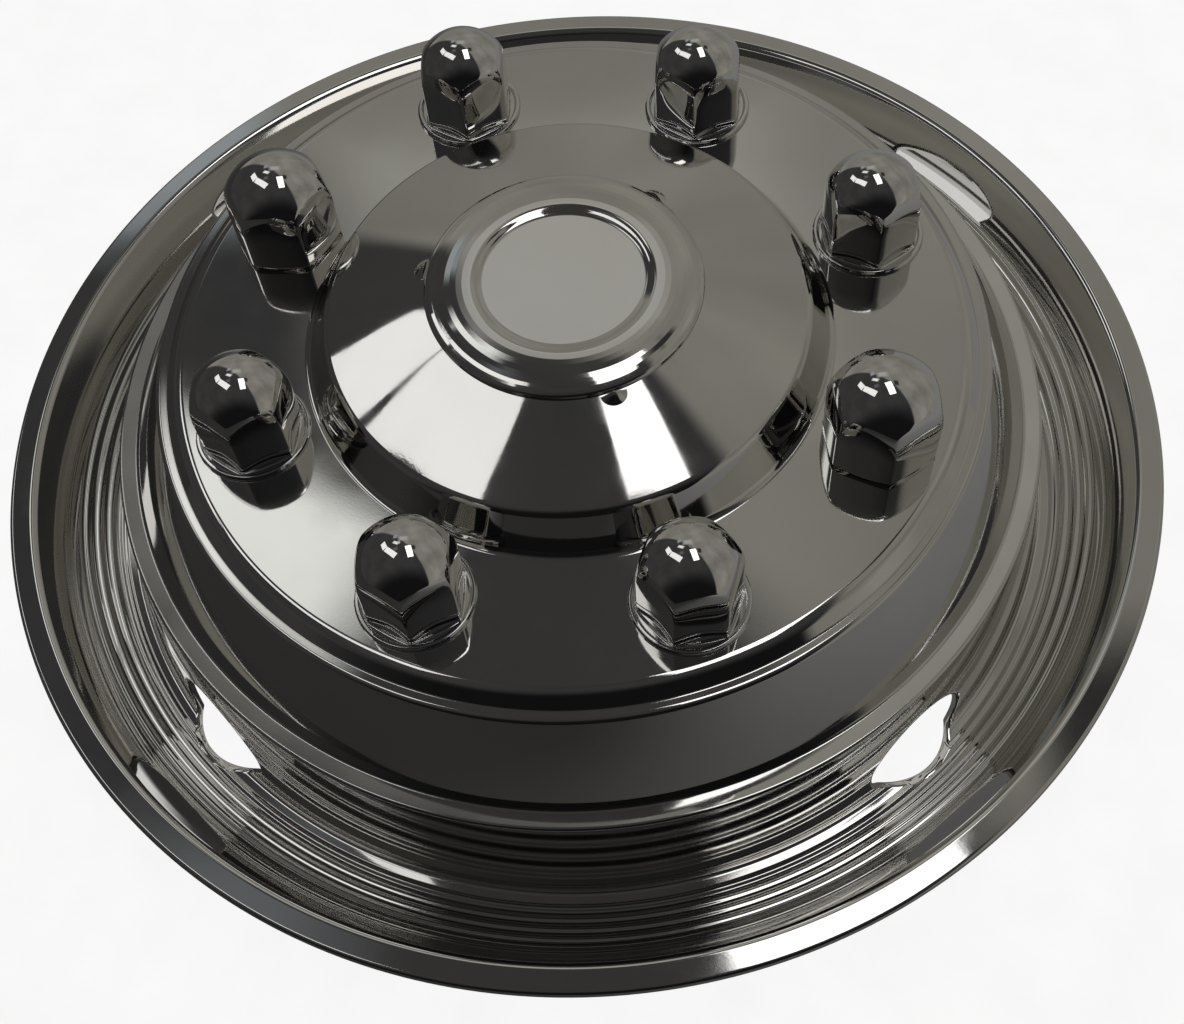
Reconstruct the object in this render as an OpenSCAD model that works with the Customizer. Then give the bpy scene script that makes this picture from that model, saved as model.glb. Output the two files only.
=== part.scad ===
// Front wheel simulator: a mirror-polished liner that dresses an eight-stud truck wheel.
// The axle runs along Z with the outboard side up. Z = 0 is the back of the rib trough,
// the lowest part of the liner, and the two hold-down nuts stand on the X axis.

/* [Liner] */
// Thickness of the pressed stainless sheet
sheet_t = 0.8; // [0.6:0.1:1.2]
// Outer radius of the flange, over its turned-down edge
flange_r = 260.5; // [256:0.5:266]
// Height of the flange face above the rest plane
flange_h = 32; // [28:0.5:36]
// Depth of the turned-down outer edge
lip_drop = 3.2; // [2.5:0.1:6]
// Outside radius of the bend at the outer edge
lip_bend = 1.8; // [1.4:0.1:2.4]
// Radius at which the flange turns down into the outer wall
throat_r = 249; // [247:0.5:251]
// Bend between the flange and the outer wall
throat_bend = 7; // [4:0.5:9]

/* [Ribs] */
// Number of concentric ribs in the trough
rib_count = 4; // [3:1:4]
// Outer radius of the ribbed band
rib_out_r = 235; // [234:0.5:237]
// Inner radius of the ribbed band
rib_in_r = 215.8; // [215:0.1:216]
// Height of the liner face where the ribs start
rib_out_h = 9; // [7:0.5:12]
// Radius inside which the ribbed band lies flat
rib_flat_r = 219.6; // [217:0.2:222]
// Height of each rib
rib_h = 0.9; // [0.6:0.1:1]
// Width of the flat land between two ribs
rib_land = 0.6; // [0.4:0.1:1]

/* [Inner wall and ledge] */
// Radius of the inner wall at the trough floor
foot_r = 210.7; // [209.5:0.1:212]
// Bend between the trough floor and the inner wall
foot_bend = 3; // [1.5:0.1:3.5]
// Outer radius of the ledge that rings the dome
ledge_out_r = 203.9; // [202:0.1:205]
// Inner radius of the ledge
ledge_in_r = 195.9; // [194:0.1:198]
// Height of the ledge
ledge_h = 54; // [48:0.5:58]
// Bends at both sides of the ledge
ledge_bend = 1.4; // [1.1:0.1:2.5]

/* [Dome and plate] */
// How far the dome wall bows out at its middle
dome_bow = 0.9; // [0.3:0.1:1.5]
// Radius at the top of the dome wall
step_out_r = 176; // [174:0.5:178]
// Radius of the inner corner of the narrow step
step_in_r = 171.6; // [170.5:0.1:172.5]
// Height of the narrow step
step_h = 93.8; // [92:0.2:95]
// Bends at the step
step_bend = 2.6; // [1.5:0.1:3]
// Radius of the plate's outer corner
plate_r = 166.2; // [164:0.2:167]
// Height of the plate
plate_h = 99; // [97:0.5:102]
// Bend round the plate's edge
plate_bend = 7; // [4:0.5:8]

/* [Hub] */
// Radius of the hub wall at the plate
hub_r = 109.5; // [107:0.5:112]
// Bend between the plate and the hub wall
hub_bend = 4; // [2:0.5:6]
// Radius of the shoulder above the hub wall
shoulder_r = 100.6; // [98:0.2:103]
// Height of the shoulder
shoulder_h = 116.9; // [113:0.1:119]
// Bend at the shoulder
shoulder_bend = 5; // [3:0.5:8]
// Radius of the round mouth in the cone
mouth_r = 54.4; // [52:0.1:55]
// Height of the cone at the mouth
mouth_h = 130.6; // [128:0.1:132]

/* [Staked dimples] */
// Number of staked dimples round the cap
dimple_count = 3; // [2:1:6]
// Azimuth of the first dimple
dimple_az = -45; // [-180:5:180]
// Length of each dimple along the circle
dimple_len = 12; // [8:0.5:16]
// Height of each dimple above the cone
dimple_h = 1.4; // [0.8:0.1:1.6]
// Gap between a dimple and the cap's rim
dimple_gap = 0.3; // [0.1:0.1:0.6]

/* [Hand holes] */
// Number of hand holes
hand_count = 4; // [2:1:5]
// Azimuth of the first hand hole
hand_az = 67.5; // [45:2.5:90]
// Length of a hand hole along the rim
hand_len = 52; // [40:1:60]
// Width of a hand hole, square to its axis
hand_w = 31.5; // [26:0.5:33]
// Radius of a hand hole's rounded ends
hand_end_r = 9; // [6:0.5:12]
// Radius of a hand hole's centre
hand_r = 212.5; // [211:0.5:213]
// Height of a hand hole's centre
hand_h = 18.5; // [18:0.5:20]
// Tilt of a hand hole's axis above level
hand_tilt = 45; // [35:1:55]
// Depth of the collar turned in round a hand hole
hand_collar = 4; // [2:0.5:6]

/* [Studs] */
// Radius of the stud circle
stud_circle_r = 137.5; // [135:0.5:140]
// Turn of each of the eight hexagons round its own axis, from the nut on +X anticlockwise
hex_turns = [0, 1, -10, -4, 23, -10, -6, -24]; // [-30:1:30]

/* [Lug covers] */
// Width of a cover's hexagon across its flats
cover_af = 37.8; // [36.5:0.1:39.5]
// Height of a cover above the plate
cover_h = 42; // [38:0.5:50]
// Radius of a cover's round top
cover_dome_r = 22; // [21.9:0.1:24]
// Thickness of a cover's sheet
cover_t = 0.7; // [0.5:0.1:1]
// Rounding of a cover's upright edges
cover_edge = 1.6; // [1:0.1:2.5]
// Radius of a cover's folded flange
cover_flange_r = 23.75; // [22.5:0.05:25]
// Outer radius of the neck that goes through the plate
cover_neck_r = 20.6; // [20:0.1:21]
// Length of neck below the back of the plate
cover_neck_out = 3.4; // [2.5:0.1:6]
// Gap between a neck and the edge of its hole
neck_gap = 0.3; // [0.1:0.1:0.6]

/* [Retaining rings] */
// Outer radius of a retaining ring
ring_r = 25; // [23.5:0.5:28]
// Thickness of a retaining ring
ring_t = 0.8; // [0.6:0.1:1]
// Depth of a ring's collar
ring_collar = 2.6; // [1.4:0.1:3.2]
// Gap between a ring and its neck
ring_gap = 0.05; // [0.03:0.01:0.1]

/* [Hold-down nuts] */
// Width of a nut's hexagon across its flats
nut_af = 43; // [41:0.5:46]
// Height of a nut
nut_h = 42.5; // [38:0.5:50]
// Radius of a nut's round top
nut_dome_r = 25; // [24.9:0.1:27]
// Thickness of a nut's stainless skin
skin_t = 0.8; // [0.6:0.1:1.2]
// Rounding of a nut's upright edges
nut_edge = 1.6; // [1.1:0.1:2.5]
// Radius of the round foot under a nut's chamfer
nut_foot_r = 21.2; // [20:0.1:21.4]
// Height of the chamfer at a nut's foot
nut_chamfer = 2.2; // [1.5:0.1:4]
// Gap between the skin and the steel core
core_gap = 0.05; // [0.03:0.01:0.1]
// Height of the steel core
core_h = 26; // [20:0.5:28]
// Nominal diameter of the stud thread
thread_d = 22; // [18:1:24]
// Pitch of the stud thread
thread_pitch = 1.5; // [1:0.25:2.5]
// Radius of the hole in the plate under each nut
stud_hole_r = 15; // [13:0.5:18]

/* [Centre cap] */
// Thickness of the cap's sheet
cap_t = 0.7; // [0.5:0.1:0.8]
// Radius over the cap's rolled rim
cap_rim_r = 57.4; // [56.5:0.1:58]
// Radius of the rolled rim's section
cap_roll = 0.95; // [0.9:0.05:1.2]
// Height of the cap's shoulder above the mouth of the cone
cap_shoulder = 1.8; // [1.5:0.1:3]
// Radius where the cap's rounded edge meets its face
cap_face_r = 50; // [48:0.5:52]
// Height of the cap's face above its shoulder, at that radius
cap_face_rise = 1.2; // [0.6:0.1:2]
// Rise of the face from there to the edge of the recess
cap_crown = 1.3; // [0.6:0.1:2]
// Outer radius of the round recess
recess_out_r = 38.2; // [34:0.1:42]
// Radius of the recess floor
recess_in_r = 35.2; // [30:0.1:36]
// Depth of the recess
recess_depth = 1.2; // [0.8:0.1:2.5]
// Depth of the skirt inside the mouth
skirt_depth = 9; // [6:0.5:14]
// Gap between the skirt and the edge of the mouth
skirt_gap = 0.3; // [0.1:0.1:0.6]
// How far the skirt's snap bead stands out
bead_h = 0.7; // [0.5:0.1:1]
// Bends at the foot and at the edge of the recess
recess_bend = 1.2; // [0.8:0.1:1.5]
// Rounding of the cap's edge
cap_edge_bend = 8; // [5:0.5:10]
// Bend from the rounded edge down to the rolled rim
cap_rim_bend = 2.4; // [1.8:0.1:3]
// How far the cap's side leans in above the rolled rim
cap_lean = 0.8; // [0.4:0.1:1.2]
// Bend from the fold under the rim down into the skirt
skirt_bend = 0.9; // [0.8:0.1:1.2]

/* [Hidden] */
$fn = 96;

stud_count = 8;
hex_sides = 6;

// Degrees in one step of a bend, and steps in one rib
arc_step = 15;
rib_steps = 6;

// How far a cut runs past a surface, and a hand hole's cut to each side of its centre
overcut = 1;
hand_reach = 17;

// Height of the liner's face on the trough floor
floor_h = sheet_t;

stainless = [0.78, 0.78, 0.77];
steel = [0.45, 0.46, 0.48];

// Stud positions of the covers and of the nuts, counted anticlockwise from +X
cover_studs = [1, 2, 3, 5, 6, 7];
nut_studs = [0, 4];

// Thread root radius of the hole for an ISO metric stud
thread_root_r = (thread_d - 1.0825 * thread_pitch) / 2;

// Slope of the cone and its height at radius r
cone_slope = (mouth_h - shoulder_h) / (shoulder_r - mouth_r);
cone_angle = atan(cone_slope);
function cone_h(r) = mouth_h - (r - mouth_r) * cone_slope;

function unit(v) = v / norm(v);
function turn(a) = a > 180 ? a - 360 : a < -180 ? a + 360 : a;

// Arc of radius r that rounds the corner p between its neighbours a and b
function corner(a, p, b, r) =
  let (
    u = unit(a - p),
    v = unit(b - p),
    half = acos(u * v) / 2,
    centre = p + unit(u + v) * r / sin(half),
    from = p + u * r / tan(half) - centre,
    to = p + v * r / tan(half) - centre,
    start = atan2(from.y, from.x),
    sweep = turn(atan2(to.y, to.x) - start),
    steps = max(2, ceil(abs(sweep) / arc_step))
  )
  [for (i = [0:steps]) centre + r * [cos(start + sweep * i / steps), sin(start + sweep * i / steps)]];

function flat(p) = [p.x, p.y];

// Points of an open path whose corners are [x, y, radius]
function rounded(path) = [
  for (i = [0:len(path) - 1])
    let (inside = i > 0 && i < len(path) - 1)
    each inside && path[i].z > 0
      ? corner(flat(path[i - 1]), flat(path[i]), flat(path[i + 1]), path[i].z)
      : [flat(path[i])]
];

// The direction square to a path at point i, to the right of travel
function across(points, i) =
  let (
    a = points[max(i - 1, 0)],
    p = points[i],
    b = points[min(i + 1, len(points) - 1)],
    m = unit(i == 0 ? b - p : p - a),
    n = unit(i == len(points) - 1 ? p - a : b - p),
    sum = [m.y + n.y, -m.x - n.x]
  )
  sum / (1 + m * n);

// Section of a sheet that lies between near and far to the right of a face path
module sheet_section(points, near, far) {
  polygon([
    for (i = [0:len(points) - 1]) points[i] + across(points, i) * near,
    for (i = [len(points) - 1:-1:0]) points[i] + across(points, i) * far
  ]);
}

// The ribs from the outermost inwards, as points of the liner's face
rib_pitch = (rib_out_r - rib_in_r) / rib_count;
rib_w = rib_pitch - rib_land;
function band_h(r) = floor_h + max(0, r - rib_flat_r) * (rib_out_h - floor_h) / (rib_out_r - rib_flat_r);
rib_points = [
  for (i = [0:rib_count - 1], j = [0:rib_steps])
    let (
      u = j / rib_steps,
      r = rib_out_r - rib_land / 2 - i * rib_pitch - u * rib_w
    )
    [r, band_h(r) + rib_h * (1 - cos(360 * u)) / 2, 0]
];

// The liner's face from the centre mouth to the outer edge
dome_foot = [ledge_in_r, ledge_h];
dome_top = [step_out_r, step_h];
dome_run = dome_top - dome_foot;
dome_mid = (dome_foot + dome_top) / 2 + 2 * dome_bow * unit([dome_run.y, -dome_run.x]);
dome_turn = 2 * atan(4 * dome_bow / norm(dome_run));
dome_bend = 0.3 * norm(dome_run) / tan(dome_turn / 2);
liner_face = [
  [mouth_r, mouth_h, 0],
  [shoulder_r, shoulder_h, shoulder_bend],
  [hub_r, plate_h, hub_bend],
  [plate_r, plate_h, plate_bend],
  [step_in_r, step_h, step_bend / 2],
  [step_out_r, step_h, step_bend],
  [dome_mid.x, dome_mid.y, dome_bend],
  [ledge_in_r, ledge_h, ledge_bend],
  [ledge_out_r, ledge_h, ledge_bend],
  [foot_r, floor_h, foot_bend],
  each [for (i = [len(rib_points) - 1:-1:0]) rib_points[i]],
  [rib_out_r, rib_out_h, 0],
  [throat_r, flange_h, throat_bend],
  [flange_r, flange_h, lip_bend],
  [flange_r, flange_h - lip_drop, 0]
];

// A hexagon with rounded corners, across its flats af
function hex_points(af, edge) =
  let (
    r = af / 2 / cos(180 / hex_sides),
    at = [for (i = [0:hex_sides - 1]) r * [cos(i * 360 / hex_sides), sin(i * 360 / hex_sides)]]
  )
  [
    for (i = [0:hex_sides - 1])
      each corner(at[(i + hex_sides - 1) % hex_sides], at[i], at[(i + 1) % hex_sides], edge)
  ];

module hex_prism(af, edge, low, high) {
  translate([0, 0, low])
    linear_extrude(high - low)
      polygon(hex_points(af, edge));
}

// A round-topped body: a ball of radius r whose top is at height h, on a cylinder down to low
module round_top(r, h, low) {
  translate([0, 0, h - r]) sphere(r);
  translate([0, 0, low]) cylinder(r = r, h = h - r - low);
}

module at_stud(i) {
  rotate(i * 360 / stud_count)
    translate([stud_circle_r, 0, plate_h])
      rotate(hex_turns[i] - i * 360 / stud_count)
        children();
}

// An oval made of two end arcs and two long side arcs that run into them
module oval(width, length, end_r) {
  reach = length / 2 - end_r;
  side_r = (width * width / 4 + reach * reach - end_r * end_r) / (width - 2 * end_r);
  offset_x = side_r - width / 2;
  join_y = side_r * reach / norm([offset_x, reach]);
  intersection() {
    translate([-offset_x, 0]) circle(side_r);
    translate([offset_x, 0]) circle(side_r);
    square([width, 2 * join_y], center = true);
  }
  for (end = [-1, 1])
    translate([0, end * reach]) circle(end_r);
}

// A prism along the axis of a hand hole, shrunk all round by inset
module hand_prism(inset) {
  translate([hand_r, 0, hand_h])
    rotate([0, 90 - hand_tilt, 0])
      translate([0, 0, -hand_reach])
        linear_extrude(2 * hand_reach)
          oval(hand_w - 2 * inset, hand_len - 2 * inset, hand_end_r - inset);
}

module liner() {
  face = rounded(liner_face);
  collar_face = rounded([
    [ledge_out_r, ledge_h, 0],
    [foot_r, floor_h, foot_bend],
    [rib_flat_r + hand_collar, floor_h, 0]
  ]);
  color(stainless)
  difference() {
    union() {
      rotate_extrude() sheet_section(face, 0, sheet_t);
      for (i = [0:hand_count - 1])
        rotate(hand_az + i * 360 / hand_count)
          intersection() {
            hand_prism(-sheet_t);
            rotate_extrude() sheet_section(collar_face, sheet_t / 2, hand_collar);
            cylinder(r = flange_r, h = ledge_h);
          }
      for (i = [0:dimple_count - 1])
        rotate(dimple_az + i * 360 / dimple_count) dimple(0, sheet_t / 2);
    }
    for (i = [0:dimple_count - 1])
      rotate(dimple_az + i * 360 / dimple_count) dimple(sheet_t, 3 * sheet_t);
    for (i = [0:hand_count - 1])
      rotate(hand_az + i * 360 / hand_count) hand_prism(0);
    for (i = cover_studs)
      at_stud(i) translate([0, 0, -sheet_t - overcut])
        cylinder(r = cover_neck_r + neck_gap, h = sheet_t + 2 * overcut);
    for (i = nut_studs)
      at_stud(i) translate([0, 0, -sheet_t - overcut])
        cylinder(r = stud_hole_r, h = sheet_t + 2 * overcut);
  }
}

// A ball-shaped swelling of the cone that starts at the cap's rim, shrunk by inset and
// reaching down to depth below the cone's face
module dimple(inset, depth) {
  ball = (dimple_len * dimple_len / 4 + dimple_h * dimple_h) / (2 * dimple_h);
  normal = [sin(cone_angle), 0, cos(cone_angle)];
  in_r = cap_rim_r + dimple_gap + inset;
  out_r = cap_rim_r + dimple_len;
  intersection() {
    translate([cap_rim_r, 0, cone_h(cap_rim_r)] + (dimple_h - ball) * normal) sphere(ball - inset);
    rotate_extrude()
      polygon([
        [in_r, cone_h(in_r) - depth],
        [out_r, cone_h(out_r) - depth],
        [out_r, cone_h(in_r) + 2 * dimple_h],
        [in_r, cone_h(in_r) + 2 * dimple_h]
      ]);
  }
}

module lug_cover(i) {
  inner_af = cover_af - 2 * cover_t;
  inner_edge = cover_edge - cover_t;
  flange_t = 2 * cover_t;
  neck_low = -sheet_t - cover_neck_out;
  color(stainless)
  at_stud(i)
    difference() {
      union() {
        intersection() {
          hex_prism(cover_af, cover_edge, 0, cover_h);
          round_top(cover_dome_r, cover_h, 0);
        }
        cylinder(r = cover_flange_r - flange_t / 2, h = flange_t);
        translate([0, 0, flange_t / 2])
          rotate_extrude() translate([cover_flange_r - flange_t / 2, 0]) circle(flange_t / 2, $fn = 32);
        translate([0, 0, neck_low]) cylinder(r = cover_neck_r, h = overcut - neck_low);
      }
      intersection() {
        hex_prism(inner_af, inner_edge, 0, cover_h);
        round_top(cover_dome_r - cover_t, cover_h - cover_t, 0);
      }
      translate([0, 0, neck_low - overcut])
        cylinder(r = cover_neck_r - cover_t, h = overcut - neck_low);
    }
}

// A pressed ring behind the plate: a flat washer with a collar that grips a cover's neck
module retaining_ring(i) {
  bore_r = cover_neck_r + ring_gap;
  color(steel)
  at_stud(i)
    translate([0, 0, -sheet_t])
      difference() {
        union() {
          translate([0, 0, -ring_t]) cylinder(r = ring_r, h = ring_t);
          translate([0, 0, -ring_collar]) cylinder(r = bore_r + ring_t, h = ring_collar);
        }
        translate([0, 0, -ring_collar - overcut]) cylinder(r = bore_r, h = ring_collar + 2 * overcut);
      }
}

// The body of a nut, shrunk all round by inset
module nut_body(inset, low, high) {
  foot_r = nut_foot_r - inset;
  full_r = nut_dome_r - inset;
  chamfer_h = nut_chamfer * (full_r - foot_r) / (nut_dome_r - nut_foot_r);
  intersection() {
    hex_prism(nut_af - 2 * inset, nut_edge - inset, low, high);
    union() {
      round_top(full_r, nut_h - inset, chamfer_h);
      cylinder(r1 = foot_r, r2 = full_r, h = chamfer_h);
      translate([0, 0, -overcut]) cylinder(r = foot_r, h = overcut);
    }
  }
}

module nut_skin(i) {
  color(stainless)
  at_stud(i)
    difference() {
      nut_body(0, 0, nut_h);
      nut_body(skin_t, -overcut, nut_h);
    }
}

module nut_core(i) {
  lead_in = thread_pitch;
  color(steel)
  at_stud(i)
    difference() {
      nut_body(skin_t + core_gap, 0, core_h);
      translate([0, 0, -overcut]) cylinder(r = thread_root_r, h = core_h + 2 * overcut);
      cylinder(r1 = thread_root_r + lead_in, r2 = thread_root_r, h = lead_in);
    }
}

// The centre cap's face from its middle out to the rolled rim, back under it and down the skirt
module centre_cap() {
  roll_r = cap_rim_r - cap_roll;
  roll_h = cone_h(roll_r) + cap_roll / cos(cone_angle);
  shoulder_top = mouth_h + cap_shoulder;
  face_h = shoulder_top + cap_face_rise;
  crown_h = face_h + cap_crown;
  skirt_r = mouth_r - skirt_gap;
  skirt_low = mouth_h - skirt_depth;
  bead_top = mouth_h - sheet_t / cos(cone_angle) - overcut / 2;
  bead_mid = bead_top - 2 * bead_h;
  fold_gap = cap_roll / 3;
  under_h = cone_h(skirt_r) - cap_roll * (1 / cos(cone_angle) - 1) + fold_gap;
  bead_bend = bead_h / 2;
  roll = [
    for (a = [90:-arc_step:-90])
      [roll_r + cap_roll * cos(a - cone_angle), roll_h + cap_roll * sin(a - cone_angle), 0]
  ];
  face = rounded(concat(
    [
      [0, crown_h - recess_depth, 0],
      [recess_in_r, crown_h - recess_depth, recess_bend],
      [recess_out_r, crown_h, recess_bend],
      [cap_face_r, face_h, cap_edge_bend],
      [roll_r - cap_lean, shoulder_top, cap_rim_bend]
    ],
    roll,
    [
      [skirt_r, under_h, skirt_bend],
      [skirt_r, bead_top, bead_bend],
      [skirt_r + bead_h, bead_top - bead_h, cap_t + bead_bend / 2],
      [skirt_r, bead_mid - bead_h, bead_bend],
      [skirt_r, skirt_low, 0]
    ]
  ));
  color(stainless) rotate_extrude() sheet_section(face, 0, cap_t);
}

liner();
centre_cap();
lug_cover(cover_studs[0]);  // lug_cover_1
lug_cover(cover_studs[1]);  // lug_cover_2
lug_cover(cover_studs[2]);  // lug_cover_3
lug_cover(cover_studs[3]);  // lug_cover_4
lug_cover(cover_studs[4]);  // lug_cover_5
lug_cover(cover_studs[5]);  // lug_cover_6
retaining_ring(cover_studs[0]);  // retaining_ring_1
retaining_ring(cover_studs[1]);  // retaining_ring_2
retaining_ring(cover_studs[2]);  // retaining_ring_3
retaining_ring(cover_studs[3]);  // retaining_ring_4
retaining_ring(cover_studs[4]);  // retaining_ring_5
retaining_ring(cover_studs[5]);  // retaining_ring_6
nut_skin(nut_studs[0]);  // nut_skin_1
nut_skin(nut_studs[1]);  // nut_skin_2
nut_core(nut_studs[0]);  // nut_core_1
nut_core(nut_studs[1]);  // nut_core_2
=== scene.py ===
"""The looks of a front wheel simulator: polished sheets, a pale floor, studio light and the camera."""
import math

import bpy
import numpy as np
from mathutils import Matrix, Vector
from mathutils.geometry import delaunay_2d_cdt


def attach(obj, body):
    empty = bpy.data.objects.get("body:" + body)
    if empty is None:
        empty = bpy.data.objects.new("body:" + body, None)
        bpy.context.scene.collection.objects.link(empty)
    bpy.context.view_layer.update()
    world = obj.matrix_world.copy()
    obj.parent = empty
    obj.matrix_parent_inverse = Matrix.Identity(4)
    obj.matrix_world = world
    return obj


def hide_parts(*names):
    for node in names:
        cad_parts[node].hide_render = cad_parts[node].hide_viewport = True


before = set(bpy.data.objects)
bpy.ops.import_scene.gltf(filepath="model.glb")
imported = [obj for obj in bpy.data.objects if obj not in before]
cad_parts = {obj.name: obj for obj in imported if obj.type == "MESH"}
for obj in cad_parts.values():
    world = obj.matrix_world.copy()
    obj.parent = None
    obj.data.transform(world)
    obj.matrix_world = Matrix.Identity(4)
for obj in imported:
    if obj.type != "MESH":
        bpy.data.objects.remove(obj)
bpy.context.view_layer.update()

# Sizes in millimetres, and places (r, z) on the section, as in the part's source
TAU = 2 * math.pi
SHEET = 0.8
MOUTH = (54.4, 130.6)
SHOULDER = (100.6, 116.9)
PLATE_H = 99.0
PLATE_IN, PLATE_OUT = (109.5, PLATE_H), (166.2, PLATE_H)
STEP_IN, STEP_OUT = (171.6, 93.8), (176.0, 93.8)
LEDGE_IN, LEDGE_OUT = (195.9, 53.7), (203.9, 54.6)
FOOT_IN, FOOT_OUT = (210.7, SHEET), (219.6, SHEET)
RIB_OUT, RIB_IN, RIB_COUNT, RIB_H, RIB_LAND = 235.0, 215.8, 4, 0.9, 0.6
RIB_PITCH = (RIB_OUT - RIB_IN) / RIB_COUNT
WALL_LOW, WALL_TOP = (RIB_OUT, 9), (249, 32)
EDGE_TOP, EDGE_LOW = (260.5, 32), (260.5, 28.8)
CONE_SLOPE = (MOUTH[1] - SHOULDER[1]) / (SHOULDER[0] - MOUTH[0])
CONE_ANGLE = math.atan(CONE_SLOPE)

# Hand holes: size is width, length and end radius, and zone is the radii that they lie between
HAND_COUNT = 4
HAND_AZ = 67.5
HAND_SIZE = (31.5, 52.0, 9.0)
HAND_SPOT = (212.5, 18.5)
HAND_TILT = math.radians(45)
HAND_COLLAR = 4.0
HAND_ROUND = 2.0
HAND_ZONE = (203, 245)

# Studs: their circle, the holes round them, and each cover's turn in degrees
STUD_COUNT = 8
STUD_R = 137.5
STUD_ZONE = (112, 163)
COVER_HOLE_R, NUT_HOLE_R = 20.9, 15.0
TURNS = [0, 1, -10, -4, 23, -10, -6, -24]
COVER_STUDS = [1, 2, 3, 5, 6, 7]
NUT_STUDS = [0, 4]

# Points round the liner's face, its back and the other round forms
FACE_COUNT, BACK_COUNT, ROUND_COUNT, UNDER_COUNT = 320, 160, 96, 72
# The least gap from a hole's edge to a point of the grid
EDGE_GAP = 0.18
# A hole's window in the grid: margins along the section, half its angle, and the length of a radian
HAND_WINDOW = ((2.5, 1.5), 0.16, 30.0)
STUD_WINDOW = ((1.0, 1.0), 0.21, 130.0)


def cone_h(r):
    return MOUTH[1] - (r - MOUTH[0]) * CONE_SLOPE


def unit(v):
    return v / np.linalg.norm(v)


def circle(count):
    """Angles of points round a circle."""
    return np.arange(count) * TAU / count


# ---- Profiles and skins ----


def fill_run(points, tangents, reach):
    """Adds points to the straight runs of a path, no further apart than reach(r)."""
    filled, turned = [points[0]], [tangents[0]]
    for a, b, t in zip(points, points[1:], tangents[1:]):
        length = np.linalg.norm(b - a)
        if length < 1e-6:
            continue
        steps = math.ceil(length / reach((a[0] + b[0]) / 2) - 1e-9)
        for k in range(1, steps + 1):
            filled.append(a + (b - a) * k / steps)
            turned.append(t)
    return np.array(filled), np.array(turned)


def rounded(corners, step, reach):
    """Points and unit tangents along an open path whose corners are (r, z, radius)."""
    spots = [np.array(c[:2], float) for c in corners]
    points, tangents = [spots[0]], [unit(spots[1] - spots[0])]
    for i in range(1, len(corners) - 1):
        radius = corners[i][2]
        back, ahead = unit(spots[i - 1] - spots[i]), unit(spots[i + 1] - spots[i])
        half = math.acos(np.clip(back @ ahead, -1, 1)) / 2
        centre = spots[i] + unit(back + ahead) * radius / math.sin(half)
        start = spots[i] + back * radius / math.tan(half) - centre
        end = spots[i] + ahead * radius / math.tan(half) - centre
        first = math.atan2(start[1], start[0])
        sweep = (math.atan2(end[1], end[0]) - first + math.pi) % TAU - math.pi
        arc = abs(sweep) * radius / reach(spots[i][0])
        steps = max(2, math.ceil(abs(sweep) / math.radians(step)), math.ceil(arc))
        side = math.copysign(1, sweep)
        for k in range(steps + 1):
            angle = first + sweep * k / steps
            out = np.array([math.cos(angle), math.sin(angle)])
            points.append(centre + radius * out)
            tangents.append(side * np.array([-out[1], out[0]]))
    points.append(spots[-1])
    tangents.append(unit(spots[-1] - spots[-2]))
    return fill_run(points, tangents, reach)


class Profile:
    """A section in (r, z) with its normals, measured by the length along it."""

    def __init__(self, points, tangents, side=1):
        self.points = points
        self.tangents = tangents
        self.side = side
        steps = np.linalg.norm(np.diff(points, axis=0), axis=1)
        self.s = np.concatenate([[0], np.cumsum(steps)])

    def back(self, t):
        """The far side of a sheet of thickness t."""
        right = np.stack([self.tangents[:, 1], -self.tangents[:, 0]], 1)
        return Profile(self.points + right * t, self.tangents, -self.side)

    def surface(self, s, angle):
        """Points and normals of the surface of revolution at lengths s and angles."""
        r = np.interp(s, self.s, self.points[:, 0])
        z = np.interp(s, self.s, self.points[:, 1])
        tr = np.interp(s, self.s, self.tangents[:, 0])
        tz = np.interp(s, self.s, self.tangents[:, 1])
        size = np.hypot(tr, tz) * self.side
        nr, nz = -tz / size, tr / size
        c, d = np.cos(angle), np.sin(angle)
        return np.stack([r * c, r * d, z], -1), np.stack([nr * c, nr * d, nz], -1)

    def length_at(self, r, zone):
        """The length along the section at radii r, all of which lie inside a zone of radii."""
        first, last = (np.argmax(self.points[:, 0] > limit) for limit in zone)
        return np.interp(r, self.points[first:last, 0], self.s[first:last])


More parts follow.
